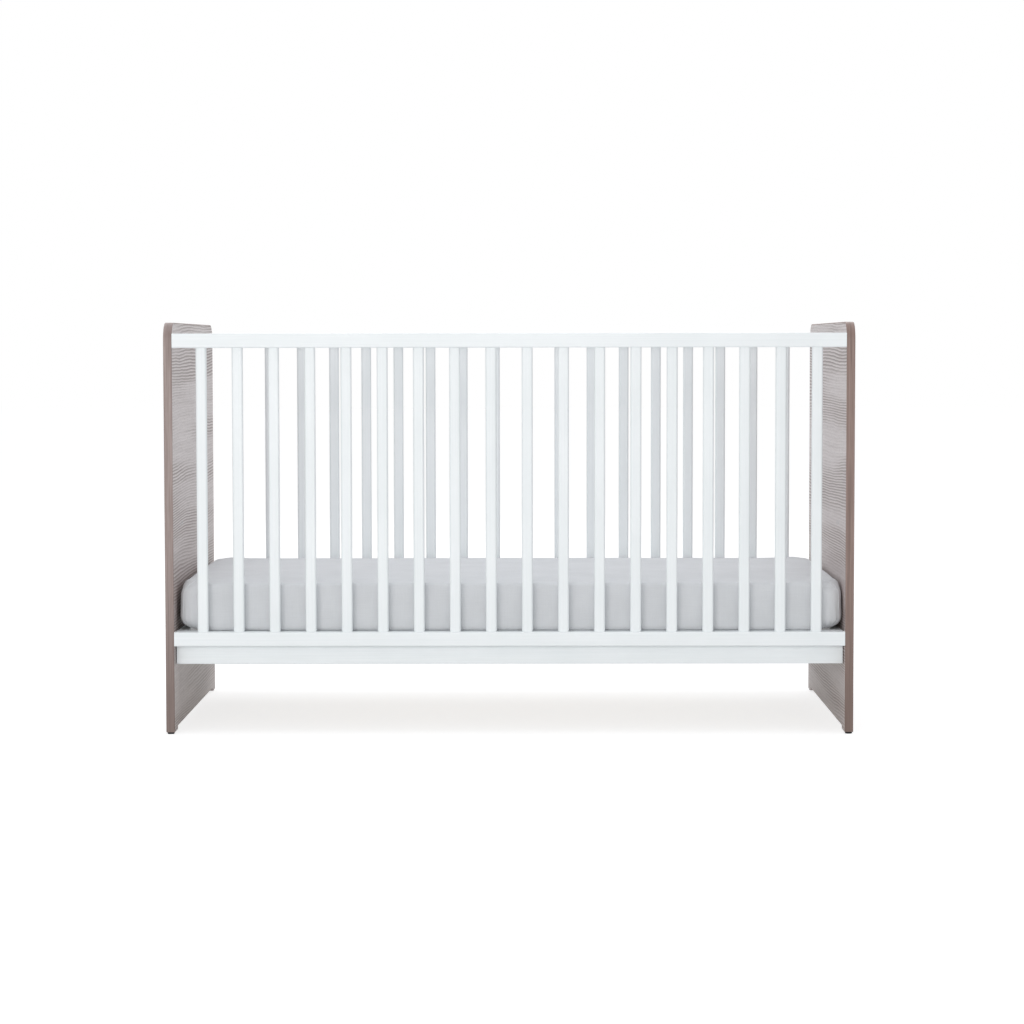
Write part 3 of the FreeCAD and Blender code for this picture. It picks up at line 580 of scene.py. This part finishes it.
def make_shell():
    """The made-up mattress's outer surface, which of its quads are sheet, and its seam lines."""
    swell = MOST_SWELL / 2
    half = ((SHELL_HIGH.x - SHELL_LOW.x) / 2 - swell, (SHELL_HIGH.y - SHELL_LOW.y) / 2 - swell)
    height = SHELL_HIGH.z - SHELL_LOW.z - swell
    points, quads = box_grid(half, height)
    middles = points[np.array(quads)].mean(1)
    inset = np.minimum(half[0] - np.abs(middles[:, 0]), half[1] - np.abs(middles[:, 1]))
    covered = (middles[:, 2] > NEARLY) | (inset < HEM_WIDTH)
    shell = new_object("mattress_pad", shell_points(points, half, height), quads)
    inflate(shell)
    write_points(shell.data, fit_box(read(shell.data, "co"), SHELL_LOW, SHELL_HIGH))
    centre = (SHELL_LOW + SHELL_HIGH) / 2
    foot = np.array((centre.x, centre.y, SHELL_LOW.z))
    lines = [shell_points(np.array(line), half, height) + foot for line in seam_lines(half, height)]
    return shell, covered, lines


def noise_at(points, height, scales, seed):
    """Smooth noise, about -height to height, at stretched points."""
    shifted = points * np.array(scales) + seed
    return height * np.array([noise.noise(Vector(point)) for point in shifted])


def wrinkles(points):
    """How far the cotton stands off the smooth shell: gathers and pulls at the corners, and folds."""
    centre = (SHELL_LOW + SHELL_HIGH) / 2
    half = (SHELL_HIGH - SHELL_LOW) / 2
    x, y, z = points.T
    past_x = np.abs(x - centre.x) - (half.x - CORNER_RADIUS)
    past_y = np.abs(y - centre.y) - (half.y - CORNER_RADIUS)
    angle = np.arctan2(np.maximum(past_y, 0.0), np.maximum(past_x, NO_ZERO))
    around = CORNER_RADIUS * angle + np.minimum(past_y, 0.0) - np.minimum(past_x, 0.0)
    off_corner = around - CORNER_RADIUS * math.pi / 4
    near = np.exp(-((off_corner / GATHER_REACH) ** 2))
    low = smooth(-z, -GATHER_TOP, -GATHER_FULL)
    drift = noise_at(points, *DRIFT)
    waves = np.sin(TURN * around / GATHER_PITCH + GATHER_DRIFT * drift)
    gathers = GATHER_HEIGHT * near * low * waves
    inset_x = np.maximum(half.x - np.abs(x - centre.x), 0.0)
    inset_y = np.maximum(half.y - np.abs(y - centre.y), 0.0)
    distance, fan = np.hypot(inset_x, inset_y), np.arctan2(inset_y, inset_x)
    pulls = PULL_HEIGHT * np.exp(-distance / PULL_REACH) * smooth(distance, PULL_START, PULL_END)
    pulls = pulls * smooth(z, PULL_LOW, PULL_FULL) * np.sin(PULL_WAVES * fan + PULL_DRIFT * drift)
    lengthwise = noise_at(points, *LENGTHWISE_FOLDS) * smooth(z, FLAT_LOW, FLAT_FULL)
    upright = noise_at(points, *UPRIGHT_FOLDS) * smooth(-z, -WALL_TOP, -WALL_FULL)
    return gathers + pulls + noise_at(points, *SOFT_SWELLS) + lengthwise + upright


def drop_faces(thing, kept):
    """Deletes the faces that aren't kept, and what they leave loose."""
    work = bmesh.new()
    work.from_mesh(thing.data)
    work.faces.ensure_lookup_table()
    dropped = [work.faces[i] for i in np.flatnonzero(~kept)]
    bmesh.ops.delete(work, geom=dropped, context="FACES")
    work.to_mesh(thing.data)
    work.free()


def tube(name, path, normals, radius, closed):
    """A thin round welt along a path on a surface."""
    count = len(path)
    before, after = np.roll(path, 1, 0), np.roll(path, -1, 0)
    if not closed:
        before[0], after[-1] = path[0], path[-1]
    tangents = after - before
    tangents /= np.linalg.norm(tangents, axis=1, keepdims=True)
    sides = np.cross(tangents, normals)
    sides /= np.linalg.norm(sides, axis=1, keepdims=True)
    ups = np.cross(sides, tangents)
    points, faces = [], []
    for step in range(count):
        for corner in range(TUBE_SIDES):
            turn = TURN * corner / TUBE_SIDES
            spoke = math.cos(turn) * sides[step] + math.sin(turn) * ups[step]
            points.append(path[step] + radius * spoke)
    for step in range(count if closed else count - 1):
        here, there = step * TUBE_SIDES, (step + 1) % count * TUBE_SIDES
        for corner in range(TUBE_SIDES):
            beyond = (corner + 1) % TUBE_SIDES
            faces.append((here + corner, here + beyond, there + beyond, there + corner))
    if not closed:
        faces.append(tuple(range(TUBE_SIDES))[::-1])
        faces.append(tuple(range((count - 1) * TUBE_SIDES, count * TUBE_SIDES)))
    return new_object(name, points, faces)


def on_surface(tree, line):
    """The nearest points of a surface to a line's points, and its normals there."""
    found = [tree.find_nearest(Vector(point)) for point in line]
    return np.array([hit[0] for hit in found]), np.array([hit[1] for hit in found])


def make_sheet(pad, covered):
    """The sheet, from the shell's skin wrinkled, cut at the hem and thickened, and its outside."""
    sheet = pad.copy()
    sheet.name = "cotton_sheet"
    sheet.data = pad.data.copy()
    bpy.context.scene.collection.objects.link(sheet)
    subdivide(sheet)
    points, normals = read(sheet.data, "co"), read(sheet.data, "normal")
    points = points + normals * wrinkles(points)[:, None]
    points[:, 2] = np.maximum(points[:, 2], SHELL_LOW.z)
    write_points(sheet.data, points)
    drop_faces(sheet, np.repeat(covered, FINER_QUADS))
    outside = BVHTree.FromObject(sheet, bpy.context.evaluated_depsgraph_get())
    solid = sheet.modifiers.new("thickness", "SOLIDIFY")
    solid.thickness = SHEET_THICKNESS
    solid.offset = -1.0
    sheet.data = evaluated_mesh(sheet)
    sheet.modifiers.clear()
    return sheet, outside


def draw_in(pad):
    """Takes the pad inside the sheet, and no lower than the CAD mattress."""
    points = read(pad.data, "co") - read(pad.data, "normal") * PAD_GAP
    points[:, 2] = np.maximum(points[:, 2], CORE_LOW.z)
    write_points(pad.data, points)


def make_welts(outside, lines):
    """The sheet's seam at each corner, and its elastic hem round the underside."""
    welts = []
    for number, line in enumerate(lines[:-1], 1):
        path, normals = on_surface(outside, line)
        lift = normals * SEAM_RADIUS * SEAM_PROUD
        lift[:, 2] = np.maximum(lift[:, 2], SHELL_LOW.z + SEAM_RADIUS - path[:, 2])
        welts.append(tube(f"sheet_corner_seam_{number}", path + lift, normals, SEAM_RADIUS, False))
    path, normals = on_surface(outside, lines[-1])
    path[:, 2] = SHELL_LOW.z + ELASTIC_RADIUS
    downward = np.tile((0.0, 0.0, -1.0), (len(path), 1))
    welts.append(tube("sheet_elastic_hem", path, downward, ELASTIC_RADIUS, True))
    return welts


def bed_piece(thing, paint_name):
    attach(thing, "mattress")
    paint(thing, paint_name)


def make_bedding():
    """The mattress and its fitted sheet, in place of their plain CAD nodes."""
    pad, covered, lines = make_shell()
    sheet, outside = make_sheet(pad, covered)
    draw_in(pad)
    welts = make_welts(outside, lines)
    bed_piece(pad, "ticking")
    for cotton in (sheet, *welts):
        bed_piece(cotton, "cotton")
    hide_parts("mattress_core")
    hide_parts("fitted_sheet")


make_bedding()


# Stage: a plain white floor and surround, soft studio light, and the camera

CAMERA_PLACE = Vector((0.0364, -6.1639, 0.8125))
CAMERA_DOWN = math.radians(3.417)
CAMERA_TURN = math.radians(0.303)
CAMERA_ROLL = math.radians(-0.082)
CAMERA_LENS = 97.54
CAMERA_SENSOR = 36.0
CAMERA_REACH = 200.0
SKY_TINT = (0.975, 0.985, 1.0, 1.0)
SKY_LIGHT = 0.56
FLOOR_HALF = 30.0
FLOOR_GLOW = 0.75
FLOOR_SHOWN = 0.46
FLOOR_BOUNCE = 0.82

# Each softbox: its place, what it faces, its width and height, its power and its tint
SOFTBOXES = {
    "front_softbox": ((-1.3, -7.0, 1.15), (0.0, 0.0, 0.45), (5.0, 2.3), 151.0, (1.0, 0.987, 0.960)),
    "top_softbox": ((-0.2, 0.0, 3.4), (0.0, 0.0, 0.3), (3.4, 2.4), 36.0, (0.94, 0.965, 1.0)),
    "back_softbox": ((0.5, 4.6, 4.0), (0.0, 0.0, 0.4), (4.0, 2.4), 70.0, (0.97, 0.985, 1.0)),
}


def grey(value):
    return (value, value, value, 1.0)


def seen_directly(tree):
    """1 for camera, glossy and transmission rays, 0 for the rays that light the object."""
    rays = tree.add("ShaderNodeLightPath").outputs
    seen = tree.maths("MAXIMUM", rays["Is Camera Ray"], rays["Is Glossy Ray"])
    return tree.maths("MAXIMUM", seen, rays["Is Transmission Ray"])


def choose(tree, unseen, shown):
    """One shader for the light that reaches the object, and another for what the camera sees."""
    inputs = {0: seen_directly(tree), 1: unseen.outputs[0], 2: shown.outputs[0]}
    return tree.add("ShaderNodeMixShader", inputs).outputs[0]


def make_world():
    world = bpy.data.worlds.new("surround")
    bpy.context.scene.world = world
    tree = Tree(world)
    tree.nodes.clear()
    light = tree.add("ShaderNodeBackground", {"Color": SKY_TINT, "Strength": SKY_LIGHT})
    shown = tree.add("ShaderNodeBackground", {"Color": WHITE, "Strength": 1.0})
    tree.add("ShaderNodeOutputWorld", {0: choose(tree, light, shown)})


def make_floor():
    """The floor, whose shown colour glows up to white outside the crib's shadow."""
    mesh = bpy.data.meshes.new("floor")
    corners = [(-1, -1), (1, -1), (1, 1), (-1, 1)]
    mesh.from_pydata([(u * FLOOR_HALF, v * FLOOR_HALF, 0.0) for u, v in corners], [], [(0, 1, 2, 3)])
    floor = bpy.data.objects.new("floor", mesh)
    bpy.context.scene.collection.objects.link(floor)
    material = bpy.data.materials.new("floor_white")
    tree = Tree(material)
    tree.nodes.clear()
    bounce = tree.add("ShaderNodeBsdfDiffuse", {"Color": grey(FLOOR_BOUNCE)})
    shaded = tree.add("ShaderNodeBsdfDiffuse", {"Color": grey(FLOOR_SHOWN)})
    glow = tree.add("ShaderNodeEmission", {"Color": WHITE, "Strength": FLOOR_GLOW})
    shown = tree.add("ShaderNodeAddShader", {0: shaded.outputs[0], 1: glow.outputs[0]})
    tree.add("ShaderNodeOutputMaterial", {0: choose(tree, bounce, shown)})
    mesh.materials.append(material)


def make_softbox(name, place, target, size, power, tint):
    light = bpy.data.lights.new(name, "AREA")
    light.shape = "RECTANGLE"
    light.size, light.size_y = size
    light.energy = power
    light.color = tint
    lamp = bpy.data.objects.new(name, light)
    lamp.location = place
    lamp.rotation_euler = (Vector(target) - Vector(place)).to_track_quat("-Z", "Y").to_euler()
    bpy.context.scene.collection.objects.link(lamp)


def make_camera():
    data = bpy.data.cameras.new("camera")
    data.lens = CAMERA_LENS
    data.sensor_width = CAMERA_SENSOR
    data.clip_end = CAMERA_REACH
    camera = bpy.data.objects.new("camera", data)
    camera.location = CAMERA_PLACE
    aim = Euler((math.pi / 2 - CAMERA_DOWN, 0.0, CAMERA_TURN)).to_matrix()
    camera.rotation_euler = (aim @ Matrix.Rotation(CAMERA_ROLL, 3, "Z")).to_euler()
    bpy.context.scene.collection.objects.link(camera)
    bpy.context.scene.camera = camera


make_world()
make_floor()
for softbox_name, softbox in SOFTBOXES.items():
    make_softbox(softbox_name, *softbox)
make_camera()
bpy.context.scene.view_settings.view_transform = "Standard"
